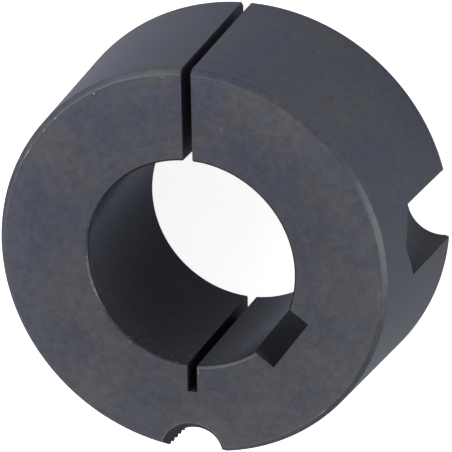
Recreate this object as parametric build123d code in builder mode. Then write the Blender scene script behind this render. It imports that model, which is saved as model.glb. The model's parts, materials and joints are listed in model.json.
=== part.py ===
"""Taper bush: a split, tapered ring that clamps a wheel hub onto a keyed shaft.

The bush stands on its large end. Z is the bore axis, with z = 0 on the large
end face, and the split points along +Y. Lengths are in millimetres and angles
in degrees, counted anticlockwise as seen from the small end.
"""

import os
from math import radians, tan

from build123d import *

# ---------------------------------------------------------------- the turned ring
large_end_d = 70.0  # over the sharp corner of the large end
bush_length = 31.8  # along the bore axis
flank_angle = 4.0  # taper on each side, 8 degrees included
bore_d = 35.0  # shaft diameter
large_end_chamfer = 1.0  # 45 degree break on the outer rim of the large end
small_end_chamfer = 0.85  # the same on the small end
bore_chamfer = 0.5  # break at both mouths of the bore

# ---------------------------------------------------------------- split, relief slot and keyway
split_angle = 90.0  # from +X: the saw cut right through the wall
split_width = 1.7
relief_from_split = 180.0  # a second cut, from the bore only, that lets the ring flex
relief_width = 1.7
relief_web = 6.8  # left standing between the relief slot and the jacking half-hole
key_from_split = -125.7
key_width = 10.0
key_height = 3.3  # keyway floor beyond the bore wall

# ---------------------------------------------------------------- screw half-holes in the flank
screw_inset = 1.6  # screw axes inside the large end's sharp corner
lock_hole_d = 11.9  # plain, and blind from the large end: the locking screws push here
lock_hole_depth = 18.8  # at full diameter
drill_point_angle = 118.0
drill_tip_d = 0.6  # the chisel edge of the drill leaves a small flat
lock_from_split = -84.8
lock_holes_apart = 180.0
jack_from_split = 180.0  # tapped right through: the jacking screw that frees the bush
jack_core_d = 8.8  # crest diameter of the 7/16 inch, 14 per inch thread
jack_mouth_d = 11.3  # countersunk just past the thread at both ends
jack_mouth_angle = 90.0

# ---------------------------------------------------------------- derived sizes
overrun = 1.0  # how far a cutting profile runs past the surface that it opens
bore_r = bore_d / 2
large_end_r = large_end_d / 2
small_end_r = large_end_r - bush_length * tan(radians(flank_angle))
key_floor_r = bore_r + key_height
screw_circle_r = large_end_r - screw_inset
lock_hole_r = lock_hole_d / 2
drill_tip_r = drill_tip_d / 2
drill_point_length = (lock_hole_r - drill_tip_r) / tan(radians(drill_point_angle / 2))
jack_core_r = jack_core_d / 2
relief_floor_r = screw_circle_r - jack_core_r - relief_web
first_lock_angle = split_angle + lock_from_split
lock_angles = (first_lock_angle, first_lock_angle + lock_holes_apart)


def cut_plane(angle):
    """Plane of the large end face, centred on the bore, with X pointing outward at an angle."""
    return Plane.XY.rotated((0, 0, angle))


def screw_plane(angle):
    """Plane through a screw axis, with X pointing outward and Y up the bush."""
    outward = Vector(1, 0, 0).rotate(Axis.Z, angle)
    sideways = outward.cross(Vector(0, 0, 1))
    return Plane(origin=outward * screw_circle_r, x_dir=outward, z_dir=sideways)


with BuildPart() as taper_bush:
    # The ring as turned: bore, two end faces and the tapered flank.
    with BuildSketch(Plane.XZ):
        with BuildLine():
            Polyline(
                (bore_r, 0),
                (large_end_r, 0),
                (small_end_r, bush_length),
                (bore_r, bush_length),
                close=True,
            )
        make_face()
    revolve(axis=Axis.Z)

    # The bore mouth and the outer rim of each end face are broken.
    for end, rim_chamfer in ((0, large_end_chamfer), (-1, small_end_chamfer)):
        end_face = taper_bush.faces().sort_by(Axis.Z)[end]
        chamfer(end_face.edges().sort_by(SortBy.RADIUS)[0], bore_chamfer)
        end_face = taper_bush.faces().sort_by(Axis.Z)[end]
        chamfer(end_face.edges().sort_by(SortBy.RADIUS)[-1], rim_chamfer)

    # Blind half-holes for the locking screws, with the drill's point left in.
    for lock_angle in lock_angles:
        drill = screw_plane(lock_angle)
        with BuildSketch(drill):
            with BuildLine():
                Polyline(
                    (0, -overrun),
                    (lock_hole_r, -overrun),
                    (lock_hole_r, lock_hole_depth),
                    (drill_tip_r, lock_hole_depth + drill_point_length),
                    (0, lock_hole_depth + drill_point_length),
                    close=True,
                )
            make_face()
        revolve(axis=Axis(drill.origin, (0, 0, 1)), mode=Mode.SUBTRACT)

    # The jacking screw's half-hole at its core size, countersunk at both ends.
    jack_foot = screw_plane(split_angle + jack_from_split).origin
    jack_top = jack_foot + Vector(0, 0, bush_length)
    with Locations(Plane(jack_foot, z_dir=(0, 0, -1)), Plane(jack_top, z_dir=(0, 0, 1))):
        CounterSinkHole(jack_core_r, jack_mouth_d / 2, counter_sink_angle=jack_mouth_angle)

    # Keyway, broached from end to end.
    with BuildSketch(cut_plane(split_angle + key_from_split)):
        Rectangle(key_floor_r, key_width, align=(Align.MIN, Align.CENTER))
    extrude(amount=bush_length, mode=Mode.SUBTRACT)

    # Relief slot, sawn outward from the bore.
    with BuildSketch(cut_plane(split_angle + relief_from_split)):
        Rectangle(relief_floor_r, relief_width, align=(Align.MIN, Align.CENTER))
    extrude(amount=bush_length, mode=Mode.SUBTRACT)

    # The split, right through the wall.
    with BuildSketch(cut_plane(split_angle)):
        Rectangle(large_end_r + overrun, split_width, align=(Align.MIN, Align.CENTER))
    extrude(amount=bush_length, mode=Mode.SUBTRACT)

taper_bush.part.label = "taper_bush"
os.makedirs("parts", exist_ok=True)
export_step(taper_bush.part, "parts/taper_bush.step")
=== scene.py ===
"""The looks of the taper bush: its finish, its thread and its worn edges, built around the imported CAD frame.

Lengths are in metres and angles in degrees, counted anticlockwise from +X as seen from the small end.
"""

import json
import math
from types import SimpleNamespace

import bmesh
import bpy
from mathutils import Matrix, Vector


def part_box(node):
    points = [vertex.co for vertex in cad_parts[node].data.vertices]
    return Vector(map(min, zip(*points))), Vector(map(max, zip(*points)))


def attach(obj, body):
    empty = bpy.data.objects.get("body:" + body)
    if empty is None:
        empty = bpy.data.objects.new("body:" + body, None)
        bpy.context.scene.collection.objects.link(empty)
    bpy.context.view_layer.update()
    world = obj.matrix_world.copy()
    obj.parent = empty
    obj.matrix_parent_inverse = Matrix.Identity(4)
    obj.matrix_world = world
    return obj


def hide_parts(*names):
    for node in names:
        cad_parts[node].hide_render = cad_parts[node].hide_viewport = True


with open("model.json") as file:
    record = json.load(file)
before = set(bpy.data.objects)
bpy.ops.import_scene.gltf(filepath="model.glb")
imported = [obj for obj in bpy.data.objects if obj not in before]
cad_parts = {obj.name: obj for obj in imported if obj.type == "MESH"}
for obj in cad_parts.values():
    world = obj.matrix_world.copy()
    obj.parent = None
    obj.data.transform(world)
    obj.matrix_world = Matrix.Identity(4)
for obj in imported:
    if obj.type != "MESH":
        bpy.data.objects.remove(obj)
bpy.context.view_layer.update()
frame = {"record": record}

# ---------------------------------------------------------------- sizes, from the frame where it holds them
mounts = {mount["name"]: mount for mount in frame["record"]["mounts"]}
node_low, node_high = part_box("taper_bush")
bush_length = node_high.z - node_low.z
bore_r = mounts["bore"]["dims"]["r_mm"] / 1000
jack_axis = Vector(mounts["jacking_half_hole"]["pos_m"])
lock_axes = [Vector(mounts["locking_half_hole_" + side]["pos_m"]) for side in "ab"]

large_end_r = 0.035
flank_angle = 4.0
large_rim_chamfer = 0.001
small_rim_chamfer = 0.00085
bore_chamfer = 0.0005
split_angle = 90.0
split_width = 0.0017
relief_angle = 270.0
relief_width = 0.0017
relief_floor_r = 0.0222
key_angle = -35.7
key_width = 0.010
key_floor_r = 0.0208
lock_hole_r = 0.00595
lock_hole_depth = 0.0188
drill_point_angle = 118.0
drill_tip_r = 0.0003
jack_mouth_r = 0.00565

# The jacking screw's thread: 7/16 inch, 14 per inch, with the rounded 55 degree form.
inch = 0.0254
thread_r = 0.4375 * inch / 2
thread_pitch = inch / 14
thread_angle = 55.0
thread_depth = 0.6403 * thread_pitch
thread_round = 0.1373 * thread_pitch
thread_start = 0.0  # where the first turn begins

# How the visible mesh is divided, and how far its machined corners are softened.
turn_segments = 480
hole_segments = 96
thread_segments = 72
curve_steps = 3
dent_segments = 16
dent_rings = 10
turned_edge = 0.00015
sawn_edge = 0.00007
sharp_angle = 32.0
overrun = 0.001
thread_overrun = 2 * thread_pitch
spare_turns = 3
weld_distance = 1e-8
merge_distance = 3e-6

# ---------------------------------------------------------------- the finish
# In a pair of numbers, a change starts at the first and is complete at the second.
end_face_tilt = (0.80, 0.95)  # the upright part of a normal, from flank or bore to end face
past_bore = (0.0001, 0.0005)  # outside the bore wall, from the bore's finish to the rest's
past_thread = (-0.0001, 0.00005)  # outside the thread's mouth, the same for the thread

# The coating, in linear colour: blue, with olive clouds, olive handled edges and an olive side. The olive side
# is painted light: one side is tinted olive and the other blue, for the cooler light that falls on the blue
# side.
coat_blue = (0.0625, 0.0645, 0.0860)
coat_olive = (0.0660, 0.0680, 0.0745)
cloud_size = 0.0110
patch_size = 0.0022
patch_share = 0.3
cloud_edge = (0.40, 0.60)
outer_edge = (0.0290, 0.0317)
inner_edge = (0.0180, 0.0200)
edge_olive = 0.35
# Painted light: the side toward this angle is more olive and the other side bluer, for the cooler light that
# falls there.
painted_light_olive_angle = -60.0
painted_light_olive_reach = (-0.020, 0.030)
painted_light_olive_side = (-0.15, 0.45)  # the share of olive at each end of that reach

# Its lightness, as swings about the colour and as shares of it.
grain_size = 0.0013
grain_swing = 0.12
turning_mark = 0.00022
turning_swing = 0.04
cloud_swing = 0.05
rim_lift_reach = (0.024, 0.0315)
rim_lift = 0.11
# The bore's colour is darkened to this share, as painted shade inside the hole.
bore_painted_shade = 0.58
thread_shade = 0.55

# How much it mirrors, how sharply, and the relief of its grain and turning marks.
coat_roughness = 0.37
bore_roughness = 0.25
roughness_swing = 0.03
coat_metallic = 0.40
bore_metallic = 0.50
coat_edge_tint = (0.84, 0.88, 1.0)
grain_relief = 0.6
turning_relief = 0.4
relief_strength = 0.25
relief_height = 0.00002

# Bare metal: how bare it is at the specks, the rim, the corners and the rubbed mouth of the bore. Along the
# keyway's corners it is a painted highlight.
bare_metal = (0.42, 0.42, 0.42)
bare_metallic = 0.8
speck_spacing = 0.0032
speck_size = 0.035  # as a share of their spacing
speck_chance = (0.40, 0.50)
speck_bareness = 0.4
wear_break = 0.0009
wear_break_edge = (0.40, 0.60)
rim_wear = 0.05
rim_wear_width = 0.00014
rim_wear_height = 0.00016
# The corners' share of bare metal: wear at the thread's countersink, a painted highlight along the keyway.
corner_wear_and_highlight = 0.12
corner_wear_and_highlight_width = 0.00016
jack_corner = jack_mouth_r + 0.0001
key_corner = key_width / 2 + 0.00008
key_corner_reach = (0.010, 0.012)
top_reach = 0.0004
mouth_wear = 0.08
mouth_depth = (0.009, 0.002)
mouth_speckle = 0.0008
mouth_speckle_edge = (0.55, 0.68)
mark_edge = (0.3, 1.0)  # where a mark fades, as a squared share of its half sizes

# Small marks on the small end face: angle, radius, half width across the rim, half length along it,
# depth, and how bare the metal is.
small_marks = (
    (-86.8, 0.01862, 0.00065, 0.00014, 0.00016, 1.0),
    (149.5, 0.03185, 0.00006, 0.00140, 0, 0.6),
    (139.7, 0.03180, 0.00010, 0.00050, 0.00011, 0.9),
    (134.4, 0.03184, 0.00008, 0.00040, 0.00008, 0.8),
    (119.3, 0.03161, 0.00013, 0.00018, 0.00007, 0.8),
    (97.1, 0.03156, 0.00007, 0.00050, 0.00005, 0.5),
    (-149.2, 0.03116, 0.00010, 0.00010, 0, 0.6),
    (-125.7, 0.01806, 0.00009, 0.00012, 0, 0.7),
    (85.6, 0.02727, 0.00009, 0.00009, 0, 0.4),
    (-46.1, 0.03192, 0.00006, 0.00130, 0, 0.5),
    (-3.7, 0.03160, 0.00006, 0.00220, 0, 0.2),
)

# ---------------------------------------------------------------- light, floor and camera
# The world's strength as a light. It looks white, at a strength of 1.
world_strength = 0.02
lamp_distance = 0.6
lamp_size = 0.5
# Each lamp's name, azimuth, elevation and power in watts.
lamps = (
    ("left_box", 135.0, 34.0, 2.3),
    ("top_box", 100.0, 58.0, 0.45),
    ("far_left_box", 180.0, 40.0, 1.85),
    ("right_box", 0.0, 15.0, 3.1),
    ("near_box", 270.0, 40.0, 1.1),
)
# The floor, and how much it glows to the camera and in reflections on top of its lit paper.
floor_size = 6.0
floor_colour = (0.7, 0.7, 0.7)
floor_glow_seen = 0.90
floor_glow_reflected = 0.38
# The lens and the sensor's width are in millimetres.
camera_azimuth = 49.433
camera_elevation = 62.243
camera_roll = -136.970
camera_distance = 0.5460
camera_target = (0.00087, 0.00099, 0.0159)
camera_lens = 264.66
camera_sensor = 36.0


def flank_r(height):
    """Radius of the tapered flank at a height above the large end face."""
    return large_end_r - height * math.tan(math.radians(flank_angle))


def outward(azimuth, elevation=0):
    """Unit vector that points at an azimuth and elevation."""
    turn = math.radians(azimuth)
    rise = math.radians(elevation)
    return Vector((math.cos(rise) * math.cos(turn), math.cos(rise) * math.sin(turn), math.sin(rise)))


# ---------------------------------------------------------------- mesh making
def place_mesh(name, bm):
    """An object in the scene that holds a finished bmesh."""
    mesh = bpy.data.meshes.new(name)
    bm.to_mesh(mesh)
    bm.free()
    made = bpy.data.objects.new(name, mesh)
    bpy.context.scene.collection.objects.link(made)
    return made


def closed_object(name, bm):
    """An object that holds a closed bmesh, welded and with its faces turned outward."""
    bmesh.ops.remove_doubles(bm, verts=bm.verts, dist=weld_distance)
    bmesh.ops.recalc_face_normals(bm, faces=bm.faces)
    return place_mesh(name, bm)


def turn_about_bore(bm, angle):
    """Turns a whole bmesh about the bore axis."""
    bmesh.ops.rotate(bm, verts=bm.verts, matrix=Matrix.Rotation(math.radians(angle), 3, "Z"))


def softened(section, edge):
    """The closed section with each corner replaced by a small curve that starts and ends an edge away."""
    points = []
    for index, corner in enumerate(section):
        corner = Vector(corner)
        before = Vector(section[index - 1])
        after = Vector(section[(index + 1) % len(section)])
        start = corner + (before - corner).normalized() * edge
        end = corner + (after - corner).normalized() * edge
        for step in range(curve_steps + 1):
            share = step / curve_steps
            points.append(start.lerp(corner, share).lerp(corner.lerp(end, share), share))
    return points


def turned(name, section, centre=(0, 0), segments=turn_segments):
    """A solid turned about an upright axis, from its closed section's (radius, height) points."""
    bm = bmesh.new()
    columns = []
    for segment in range(segments):
        angle = 2 * math.pi * segment / segments
        out = Vector((math.cos(angle), math.sin(angle), 0))
        base = Vector((*centre, 0))
        columns.append([bm.verts.new(base + out * r + Vector((0, 0, z))) for r, z in section])
    for column, following in zip(columns, columns[1:] + columns[:1]):
        for index in range(len(section)):
            if section[index - 1][0] == section[index][0] == 0:
                continue
            bm.faces.new([column[index - 1], following[index - 1], following[index], column[index]])
    return closed_object(name, bm)


def lofted(name, outlines, turn):
    """A solid through a stack of outlines with the same number of points each, turned about the bore axis."""
    bm = bmesh.new()
    levels = [[bm.verts.new(point) for point in outline] for outline in outlines]
    for lower, upper in zip(levels, levels[1:]):
        for index in range(len(lower)):
            bm.faces.new([lower[index - 1], lower[index], upper[index], upper[index - 1]])
    bm.faces.new(levels[0])
    bm.faces.new(levels[-1])
    turn_about_bore(bm, turn)
    return closed_object(name, bm)


def cut(piece, *cutters):
    """Cuts each cutter out of the piece, and removes the cutter."""
    for cutter in cutters:
        difference = piece.modifiers.new("cut", "BOOLEAN")
        difference.operation = "DIFFERENCE"
        difference.solver = "MANIFOLD"
        difference.object = cutter
        evaluated = piece.evaluated_get(bpy.context.evaluated_depsgraph_get())
        mesh = bpy.data.meshes.new_from_object(evaluated)
        piece.modifiers.clear()
        piece.data = mesh
        bpy.data.objects.remove(cutter)


# ---------------------------------------------------------------- the bush
def turned_ring():
    """The ring as turned, with its four chamfers and every corner slightly softened."""
    top = bush_length
    section = [
        (bore_r, bore_chamfer),
        (bore_r + bore_chamfer, 0),
        (large_end_r - large_rim_chamfer, 0),
        (flank_r(large_rim_chamfer), large_rim_chamfer),
        (flank_r(top - small_rim_chamfer), top - small_rim_chamfer),
        (flank_r(top) - small_rim_chamfer, top),
        (bore_r + bore_chamfer, top),
        (bore_r, top - bore_chamfer),
    ]
    return turned("taper_bush_finish", softened(section, turned_edge))


def slot_cutter(name, turn, width, floor_r=None):
    """A sawn or broached slot, from the bore to a floor or right through, with its edges just broken."""
    half = width / 2
    mouth_r = math.sqrt(bore_r**2 - half**2)
    outlines = []
    for height, grown in (
        (-overrun, sawn_edge),
        (0, sawn_edge),
        (sawn_edge, 0),
        (bush_length - sawn_edge, 0),
        (bush_length, sawn_edge),
        (bush_length + overrun, sawn_edge),
    ):
        side = [
            (0, half + sawn_edge),
            (mouth_r, half + sawn_edge),
            (mouth_r + sawn_edge, half + grown),
        ]
        if floor_r:
            side.append((floor_r + grown, half + grown))
        else:
            side.append((flank_r(height) - sawn_edge, half + grown))
            side.append((flank_r(height), half + sawn_edge))
            side.append((flank_r(height) + overrun, half + sawn_edge))
        outline = side + [(out, -across) for out, across in reversed(side)]
        outlines.append([(out, across, height) for out, across in outline])
    return lofted(name, outlines, turn)


def lock_drill(name, axis):
    """The blind drilled hole of a locking screw, with its conical point and small flat tip."""
    point_length = (lock_hole_r - drill_tip_r) / math.tan(math.radians(drill_point_angle / 2))
    section = [
        (0, -overrun),
        (lock_hole_r + sawn_edge, -overrun),
        (lock_hole_r + sawn_edge, 0),
        (lock_hole_r, sawn_edge),
        (lock_hole_r, lock_hole_depth),
        (drill_tip_r, lock_hole_depth + point_length),
        (0, lock_hole_depth + point_length),
    ]
    return turned(name, section, axis.xy, hole_segments)


def countersink(name, axis, height, direction):
    """A 90 degree countersink at one end of the jacking hole."""
    section = [
        (0, height + direction * overrun),
        (jack_mouth_r + overrun, height + direction * overrun),
        (0, height - direction * jack_mouth_r),
    ]
    return turned(name, section, axis.xy, hole_segments)


def thread_form():
    """One pitch of the thread, as points of (distance along it, depth below the tap's crest)."""
    flank_tilt = math.radians(90 - thread_angle / 2)
    swings = [flank_tilt * step / curve_steps for step in range(curve_steps + 1)]
    crest = [(thread_round * math.sin(swing), thread_round * (1 - math.cos(swing))) for swing in swings]
    half = thread_pitch / 2
    into_root = [(half - along, thread_depth - deep) for along, deep in reversed(crest)]
    first_half = crest + into_root
    return first_half + [(thread_pitch - along, deep) for along, deep in reversed(first_half[:-1])]


def tap(name, axis):
    """The tap that cuts the jacking screw's thread: a rod with a right-hand helical ridge."""
    form = thread_form()
    bottom = -thread_overrun
    turns = math.ceil(bush_length / thread_pitch) + spare_turns
    top = bottom + (turns + 1) * thread_pitch
    bm = bmesh.new()
    stations = []
    for step in range(turns * thread_segments + 1):
        turn = step / thread_segments
        angle = 2 * math.pi * turn + math.radians(thread_start)
        out = Vector((math.cos(angle), math.sin(angle), 0))
        foot = Vector((axis.x, axis.y, bottom + turn * thread_pitch))
        points = [foot + out * (thread_r - deep) + Vector((0, 0, along)) for along, deep in form]
        stations.append([bm.verts.new(point) for point in points])
    for station, following in zip(stations, stations[1:]):
        for index in range(1, len(form)):
            bm.faces.new([station[index - 1], following[index - 1], following[index], station[index]])
    bmesh.ops.remove_doubles(bm, verts=bm.verts, dist=weld_distance)
    for height in (bottom, top):
        rim = [edge for edge in bm.edges if edge.is_boundary]
        rim = [edge for edge in rim if abs(edge.verts[0].co.z - height) < thread_overrun]
        centre = bm.verts.new((axis.x, axis.y, height))
        for edge in rim:
            bm.faces.new([*edge.verts, centre])
    return closed_object(name, bm)


def dent(name, angle, radius, across, along, depth):
    """A small dent in the small end face: a flattened ball, sunk to half its height."""
    bm = bmesh.new()
    bmesh.ops.create_uvsphere(bm, u_segments=dent_segments, v_segments=dent_rings, radius=1)
    bmesh.ops.scale(bm, verts=bm.verts, vec=(across, along, depth))
    bmesh.ops.translate(bm, verts=bm.verts, vec=(radius, 0, bush_length))
    turn_about_bore(bm, angle)
    return closed_object(name, bm)


def dents():
    """A dent for each small mark that has a depth."""
    made = []
    for index, (angle, radius, across, along, depth, _) in enumerate(small_marks):
        if depth:
            made.append(dent(f"nick_{index}", angle, radius, across, along, depth))
    return made


def tidy_mesh(piece):
    """Merges the points that the cuts left closer together than a few micrometres."""
    bm = bmesh.new()
    bm.from_mesh(piece.data)
    bmesh.ops.remove_doubles(bm, verts=bm.verts, dist=merge_distance)
    bmesh.ops.dissolve_degenerate(bm, edges=bm.edges, dist=merge_distance)
    bm.to_mesh(piece.data)
    bm.free()


def shade(piece):
    """Smooth shading between sharp edges, led by the largest faces."""
    piece.data.shade_smooth()
    piece.data.set_sharp_from_angle(angle=math.radians(sharp_angle))
    weighted = piece.modifiers.new("weighted_normals", "WEIGHTED_NORMAL")
    weighted.keep_sharp = True


def make_bush():
    """The whole bush as one mesh that stands for its CAD node."""
    bush = turned_ring()
    cut(
        bush,
        slot_cutter("keyway", key_angle, key_width, key_floor_r),
        slot_cutter("relief_slot", relief_angle, relief_width, relief_floor_r),
        slot_cutter("split", split_angle, split_width),
        lock_drill("lock_a", lock_axes[0]),
        lock_drill("lock_b", lock_axes[1]),
        tap("tap", jack_axis),
        countersink("sink_low", jack_axis, 0, -1),
        countersink("sink_high", jack_axis, bush_length, 1),
        *dents(),
    )
    tidy_mesh(bush)
    shade(bush)
    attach(bush, "root")
    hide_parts("taper_bush")
    bush.data.materials.clear()
    bush.data.materials.append(blackened_iron())


# ---------------------------------------------------------------- material nodes
def add_node(tree, kind, inputs=None, **settings):
    """A shader node of a kind, with its settings, and with inputs that are values or other nodes' outputs."""
    made = tree.nodes.new("ShaderNode" + kind)
    for name, value in settings.items():
        setattr(made, name, value)
    for key, value in (inputs or {}).items():
        if isinstance(value, bpy.types.NodeSocket):
            tree.links.new(value, made.inputs[key])
        else:
            made.inputs[key].default_value = value
    return made


def compute(tree, operation, *values, clamp=False):
    """The result of one Math node."""
    made = add_node(tree, "Math", dict(enumerate(values)), operation=operation, use_clamp=clamp)
    return made.outputs[0]


def product(tree, first, *others):
    """The product of several values."""
    for other in others:
        first = compute(tree, "MULTIPLY", first, other)
    return first


def largest(tree, first, *others):
    """The largest of several values."""
    for other in others:
        first = compute(tree, "MAXIMUM", first, other)
    return first


def vector_number(tree, operation, first, second=(0, 0, 0)):
    """The single number that a Vector Math node gives: a length, a distance or a dot product."""
    return add_node(tree, "VectorMath", {0: first, 1: second}, operation=operation).outputs["Value"]


def ramp(tree, value, low, high, to_low=0.0, to_high=1.0):
    """A value eased from one range into another, and held at its ends."""
    inputs = {"Value": value, "From Min": low, "From Max": high, "To Min": to_low, "To Max": to_high}
    return add_node(tree, "MapRange", inputs, interpolation_type="SMOOTHSTEP").outputs[0]


def near(tree, value, centre, reach):
    """1 where a value is at a centre, falling to 0 a reach away from it."""
    return ramp(tree, compute(tree, "ABSOLUTE", compute(tree, "SUBTRACT", value, centre)), 0, reach, 1, 0)


def noise(tree, vector, size, detail=2.0, roughness=0.5):
    """Noise from 0 to 1 whose features are about a size across."""
    inputs = {"Vector": vector, "Scale": 1 / size, "Detail": detail, "Roughness": roughness}
    return add_node(tree, "TexNoise", inputs).outputs["Fac"]


def swing(tree, value, size, middle):
    """A noise's usual range, 0.3 to 0.7, turned into a swing of a size about a middle."""
    return ramp(tree, value, 0.3, 0.7, middle - size, middle + size)


def blend_value(tree, share, first, second):
    """A mix of two numbers."""
    return add_node(tree, "Mix", {"Factor": share, 2: first, 3: second}, data_type="FLOAT").outputs[0]


def blend_colour(tree, share, first, second):
    """A mix of two colours, each given as a value or as another node's output."""
    made = add_node(tree, "Mix", {"Factor": share}, data_type="RGBA")
    for socket, colour in ((made.inputs[6], first), (made.inputs[7], second)):
        if isinstance(colour, bpy.types.NodeSocket):
            tree.links.new(colour, socket)
        else:
            socket.default_value = (*colour, 1)
    return made.outputs[2]


def new_material(name):
    """An empty node material and its tree."""
    material = bpy.data.materials.new(name)
    material.use_nodes = True
    material.node_tree.nodes.clear()
    return material, material.node_tree


# ---------------------------------------------------------------- the blackened iron
def places(tree):
    """Where a point lies on the bush, and the noises that several parts of the finish share."""
    coordinates = add_node(tree, "TexCoord").outputs
    position = coordinates["Object"]
    x, y, height = add_node(tree, "SeparateXYZ", {0: position}).outputs
    normal = add_node(tree, "SeparateXYZ", {0: coordinates["Normal"]}).outputs
    upright = compute(tree, "ABSOLUTE", normal[2])
    flat = add_node(tree, "CombineXYZ", {0: x, 1: y}).outputs[0]
    radius = vector_number(tree, "LENGTH", flat)
    at = SimpleNamespace(position=position, height=height, radius=radius)
    at.to_jack = vector_number(tree, "DISTANCE", flat, (jack_axis.x, jack_axis.y, 0))
    at.on_end = ramp(tree, upright, *end_face_tilt)
    at.on_bore = ramp(tree, radius, *(bore_r + past for past in past_bore), 1, 0)
    at.at_top = near(tree, height, bush_length, top_reach)
    at.clouds = noise(tree, position, cloud_size, detail=3.0, roughness=0.55)
    at.grain = noise(tree, position, grain_size, detail=5.0, roughness=0.75)

    # Turning marks run round the bush, by radius on the ends and by height elsewhere.
    across = compute(tree, "DIVIDE", blend_value(tree, upright, height, radius), turning_mark)
    around = [compute(tree, "DIVIDE", side, radius) for side in (x, y)]
    wrapped = add_node(tree, "CombineXYZ", {0: across, 1: around[0], 2: around[1]}).outputs[0]
    at.turning = noise(tree, wrapped, 1.0, detail=3.0, roughness=0.6)
    return at


def coat_tint(tree, at):
    """Clouds of blue and of olive in the coating. The handled edges are more olive, and one side is painted
    more olive, for the cooler light that falls on the other side.
    """
    patches = noise(tree, at.position, patch_size)
    mixed = blend_value(tree, patch_share, at.clouds, patches)
    outer = ramp(tree, at.radius, *outer_edge)
    inner = ramp(tree, at.radius, *inner_edge, 1, 0)
    edges = product(tree, compute(tree, "ADD", outer, inner), at.on_end, edge_olive)
    # Painted light: the coat turns olive toward one side and blue toward the other, for the cooler light on
    # the blue side.
    side = vector_number(tree, "DOT_PRODUCT", at.position, outward(painted_light_olive_angle))
    share = compute(tree, "ADD", ramp(tree, mixed, *cloud_edge), edges)
    share = compute(tree, "ADD", share, ramp(tree, side, *painted_light_olive_reach, *painted_light_olive_side), clamp=True)
    return blend_colour(tree, share, coat_blue, coat_olive)


def coat_shading(tree, at):
    """How light the coating is: the thread is darker, and the bore is darker than the rest, as painted shade
    inside the hole.
    """
    broad = noise(tree, at.position, cloud_size)
    toward_rim = product(tree, ramp(tree, at.radius, *rim_lift_reach, 0, rim_lift), at.on_end)
    in_thread = ramp(tree, at.to_jack, *(jack_mouth_r + past for past in past_thread), 1, 0)
    return product(
        tree,
        swing(tree, at.grain, grain_swing, 1),
        swing(tree, at.turning, turning_swing, 1),
        swing(tree, broad, cloud_swing, 1),
        compute(tree, "ADD", 1.0, toward_rim),
        # Painted shade: the bore wall's colour is darkened for the shade inside the hole.
        ramp(tree, at.on_bore, 0, 1, 1, bore_painted_shade),
        ramp(tree, in_thread, 0, 1, 1, thread_shade),
    )


def marked(tree, at, angle, radius, across, along, strength):
    """The strength of a small mark where it is, and 0 elsewhere."""
    out = outward(angle)
    aside = outward(angle + 90)
    offset = add_node(tree, "VectorMath", {0: at.position, 1: out * radius}, operation="SUBTRACT").outputs[0]
    squares = []
    for direction, reach in ((out, across), (aside, along)):
        distance = vector_number(tree, "DOT_PRODUCT", offset, direction / reach)
        squares.append(compute(tree, "MULTIPLY", distance, distance))
    return ramp(tree, compute(tree, "ADD", *squares), *mark_edge, strength, 0)


def rim_wear_share(tree, at, broken):
    """Wear on the small end: its rim, the small marks and the edge of the thread's countersink."""
    rim_r = flank_r(bush_length) - small_rim_chamfer
    at_rim_r = near(tree, at.radius, rim_r, rim_wear_width)
    at_rim_height = near(tree, at.height, bush_length, rim_wear_height)
    worn = product(tree, at_rim_r, at_rim_height, broken, rim_wear)
    for angle, radius, across, along, _, strength in small_marks:
        mark = marked(tree, at, angle, radius, across, along, strength)
        worn = largest(tree, worn, product(tree, mark, at.at_top))
    at_jack_rim = near(tree, at.to_jack, jack_corner, corner_wear_and_highlight_width)
    worn = largest(tree, worn, product(tree, at_jack_rim, at.at_top, corner_wear_and_highlight))
    return product(tree, worn, ramp(tree, broken, 0, 1, 0.5, 1.0))


def mouth_wear_share(tree, at):
    """Speckles at the mouth of the bore, where shafts have rubbed it."""
    near_mouth = ramp(tree, at.height, *(bush_length - depth for depth in mouth_depth))
    speckle = noise(tree, at.position, mouth_speckle, roughness=0.6)
    rubbed = ramp(tree, speckle, *mouth_speckle_edge, 0, mouth_wear)
    return product(tree, rubbed, product(tree, at.on_bore, near_mouth))


def keyway_corner_highlight(tree, at, broken):
    """A painted highlight along the two corners where the keyway opens into the bore, given as bare metal."""
    out = vector_number(tree, "DOT_PRODUCT", at.position, outward(key_angle))
    aside = vector_number(tree, "DOT_PRODUCT", at.position, outward(key_angle + 90))
    at_corner = near(tree, compute(tree, "ABSOLUTE", aside), key_corner, corner_wear_and_highlight_width)
    # Painted highlight: bare metal along the keyway's corners, for the light line of the lit corner.
    worn = product(tree, at_corner, at.on_bore, corner_wear_and_highlight, ramp(tree, out, *key_corner_reach))
    return product(tree, worn, broken)


def speck_share(tree, at):
    """Sparse bright specks all over: one in some of the cells."""
    cells = add_node(tree, "TexVoronoi", {"Vector": at.position, "Scale": 1 / speck_spacing})
    chosen = add_node(tree, "SeparateXYZ", {0: cells.outputs["Color"]}).outputs[0]
    speck = ramp(tree, cells.outputs["Distance"], speck_size * 0.5, speck_size, 1, 0)
    return product(tree, speck, ramp(tree, chosen, *speck_chance), speck_bareness)


def bareness(tree, at):
    """How bare the metal is, from 0 for whole coating to 1. Along the keyway's corners this is a painted
    highlight.
    """
    broken = ramp(tree, noise(tree, at.position, wear_break, roughness=0.7), *wear_break_edge)
    worn = compute(tree, "ADD", rim_wear_share(tree, at, broken), mouth_wear_share(tree, at))
    # The keyway's corners add a painted highlight, as bare metal.
    worn = compute(tree, "ADD", worn, keyway_corner_highlight(tree, at, broken))
    return compute(tree, "MAXIMUM", worn, speck_share(tree, at), clamp=True)


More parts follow.
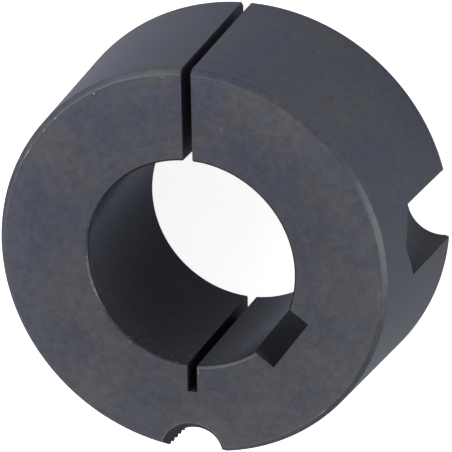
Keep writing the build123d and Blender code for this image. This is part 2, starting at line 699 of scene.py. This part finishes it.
def blackened_iron():
    """Phosphated and oiled cast iron: a dark satin with faint clouds, turning marks and bright specks."""
    material, tree = new_material("blackened_iron_finish")
    at = places(tree)
    scaled = {0: coat_tint(tree, at), "Scale": coat_shading(tree, at)}
    coat = add_node(tree, "VectorMath", scaled, operation="SCALE").outputs[0]
    bare = bareness(tree, at)
    roughness = ramp(tree, at.on_bore, 0, 1, coat_roughness, bore_roughness)
    for unevenness in (at.grain, at.clouds):
        roughness = compute(tree, "ADD", roughness, swing(tree, unevenness, roughness_swing, 0))
    grain_height = compute(tree, "MULTIPLY", at.grain, grain_relief)
    height = compute(tree, "ADD", grain_height, compute(tree, "MULTIPLY", at.turning, turning_relief))
    bump = add_node(tree, "Bump", {"Height": height, "Strength": relief_strength, "Distance": relief_height})
    coat_share = ramp(tree, at.on_bore, 0, 1, coat_metallic, bore_metallic)
    shader = add_node(
        tree,
        "BsdfPrincipled",
        {
            "Base Color": blend_colour(tree, bare, coat, bare_metal),
            "Roughness": roughness,
            "Metallic": largest(tree, coat_share, product(tree, bare, bare_metallic)),
            "Normal": bump.outputs[0],
            "Specular IOR Level": 0,
            "Specular Tint": (*coat_edge_tint, 1),
        },
    )
    add_node(tree, "OutputMaterial", {"Surface": shader.outputs[0]})
    return material


# ---------------------------------------------------------------- floor, light and camera
def make_floor():
    """A pale floor that looks white to the camera, and keeps a soft shadow."""
    bm = bmesh.new()
    bmesh.ops.create_grid(bm, x_segments=1, y_segments=1, size=floor_size / 2)
    floor = place_mesh("floor", bm)
    material, tree = new_material("floor_paper")
    path = add_node(tree, "LightPath").outputs
    reflected = compute(tree, "MAXIMUM", path["Is Glossy Ray"], path["Is Transmission Ray"])
    reflected = compute(tree, "MULTIPLY", reflected, floor_glow_reflected)
    seen = compute(tree, "MULTIPLY", path["Is Camera Ray"], floor_glow_seen)
    glow = add_node(tree, "Emission", {"Strength": compute(tree, "ADD", seen, reflected)})
    paper = add_node(tree, "BsdfDiffuse", {"Color": (*floor_colour, 1)})
    both = add_node(tree, "AddShader", {0: glow.outputs[0], 1: paper.outputs[0]})
    add_node(tree, "OutputMaterial", {"Surface": both.outputs[0]})
    floor.data.materials.append(material)


def make_world():
    """Even, faint light from all round, and plain white behind everything."""
    world = bpy.data.worlds.new("studio")
    world.use_nodes = True
    tree = world.node_tree
    tree.nodes.clear()
    path = add_node(tree, "LightPath").outputs
    shown = largest(tree, path["Is Camera Ray"], path["Is Glossy Ray"], path["Is Transmission Ray"])
    strength = blend_value(tree, shown, world_strength, 1.0)
    background = add_node(tree, "Background", {"Color": (1, 1, 1, 1), "Strength": strength})
    add_node(tree, "OutputWorld", {"Surface": background.outputs[0]})
    bpy.context.scene.world = world


def make_lamps():
    """Large soft boxes round the bush."""
    middle = Vector((0, 0, bush_length / 2))
    for name, azimuth, elevation, power in lamps:
        light = bpy.data.lights.new(name, "AREA")
        light.shape = "DISK"
        light.size = lamp_size
        light.energy = power
        lamp = bpy.data.objects.new(name, light)
        direction = outward(azimuth, elevation)
        lamp.location = middle + direction * lamp_distance
        lamp.rotation_euler = direction.to_track_quat("Z", "Y").to_euler()
        bpy.context.scene.collection.objects.link(lamp)


def make_camera():
    """The camera, looking down at the bush from its small end, turned so that the split is at the top."""
    back = outward(camera_azimuth, camera_elevation)
    right = Vector((0, 0, 1)).cross(back).normalized()
    up = back.cross(right)
    level = Matrix((right, up, back)).transposed()
    rolled = level @ Matrix.Rotation(math.radians(camera_roll), 3, "Z")
    data = bpy.data.cameras.new("camera")
    data.lens = camera_lens
    data.sensor_width = camera_sensor
    camera = bpy.data.objects.new("camera", data)
    place = Matrix.Translation(Vector(camera_target) + back * camera_distance)
    camera.matrix_world = place @ rolled.to_4x4()
    bpy.context.scene.collection.objects.link(camera)
    bpy.context.scene.camera = camera


make_bush()
make_floor()
make_world()
make_lamps()
make_camera()
bpy.context.scene.view_settings.view_transform = "Standard"
